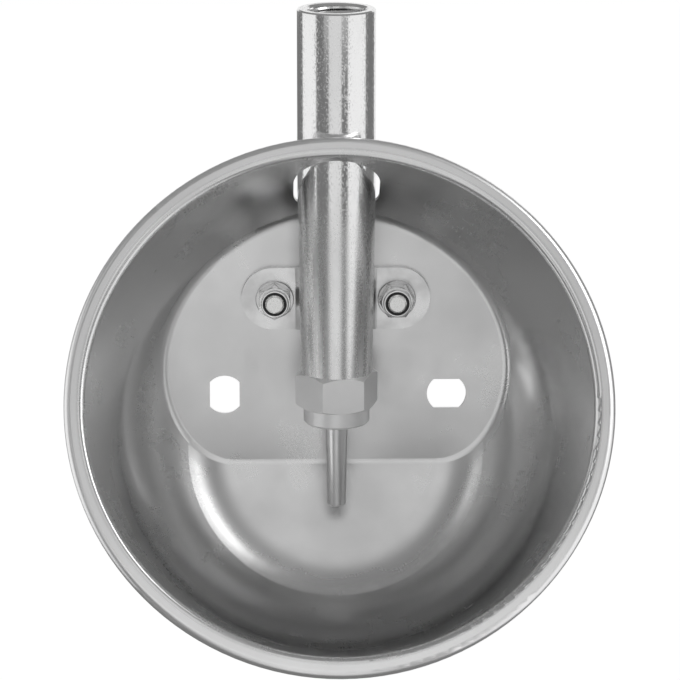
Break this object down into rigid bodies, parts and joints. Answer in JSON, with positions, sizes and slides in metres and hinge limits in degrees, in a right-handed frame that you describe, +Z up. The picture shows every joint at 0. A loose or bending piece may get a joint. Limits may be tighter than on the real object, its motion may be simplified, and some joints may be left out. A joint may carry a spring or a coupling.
{
  "type": "livestock drinking bowl",
  "caption": "Wall-mounted livestock drinking bowl: round pressed stainless basin with a flat back plate and a vertical tube valve opened by nudging its hanging pin.",
  "frame": {"origin": "on the rear face of the back plate, midway between the two wall slots", "axes": "+X to the right seen from the front, +Y into the wall, +Z up along the valve tube"},
  "size_m": [0.2176, 0.1421, 0.257],
  "materials": {
    "stainless_sheet": "satin",
    "stud_steel": "machined",
    "strap_steel": "satin",
    "weld_metal": "as welded",
    "plated_hardware": "bright plated",
    "nylon": "matt",
    "plated_tube": "mottled plating",
    "cap_steel": "turned",
    "seat_rubber": "matt",
    "pin_steel": "turned",
    "cup_plastic": "moulded",
    "spring_steel": "drawn",
    "retainer_brass": "turned",
    "strainer_steel": "pressed"
  },
  "bodies": {
    "frame": {"bowl_shell": "stainless_sheet", "left_weld_stud": "stud_steel", "right_weld_stud": "stud_steel", "tube_bracket": "strap_steel", "left_weld_bead": "weld_metal", "right_weld_bead": "weld_metal", "left_washer": "plated_hardware", "right_washer": "plated_hardware", "left_lock_nut": "plated_hardware", "right_lock_nut": "plated_hardware", "left_nut_insert": "nylon", "right_nut_insert": "nylon", "valve_tube": "plated_tube", "valve_cap": "cap_steel", "seat_ring": "seat_rubber", "valve_spring": "spring_steel", "spring_retainer": "retainer_brass", "retaining_ring": "spring_steel", "inlet_strainer": "strainer_steel"},
    "lifter": {"spring_cup": "cup_plastic"},
    "rocker": {"swivel_washer": "cup_plastic"},
    "pin": {"valve_pin": "pin_steel"}
  },
  "joints": [
    {"name": "pin_lift", "type": "slide", "parent": "frame", "child": "lifter", "axis": [0, 0, 1], "range_m": [0, 0.0025], "stiffness_N_per_m": 900, "springref_m": -0.006, "deforming": ["valve_spring"]},
    {"name": "pin_tilt_fore_aft", "type": "hinge", "parent": "lifter", "child": "rocker", "pos_m": [0, -0.022, 0.0067], "axis": [1, 0, 0], "range_deg": [-6, 6], "stiffness_Nm_per_rad": 0.15, "deforming": ["seat_ring"]},
    {"name": "pin_tilt_sideways", "type": "hinge", "parent": "rocker", "child": "pin", "pos_m": [0, -0.022, 0.0067], "axis": [0, 1, 0], "range_deg": [-6, 6], "stiffness_Nm_per_rad": 0.15}
  ]
}
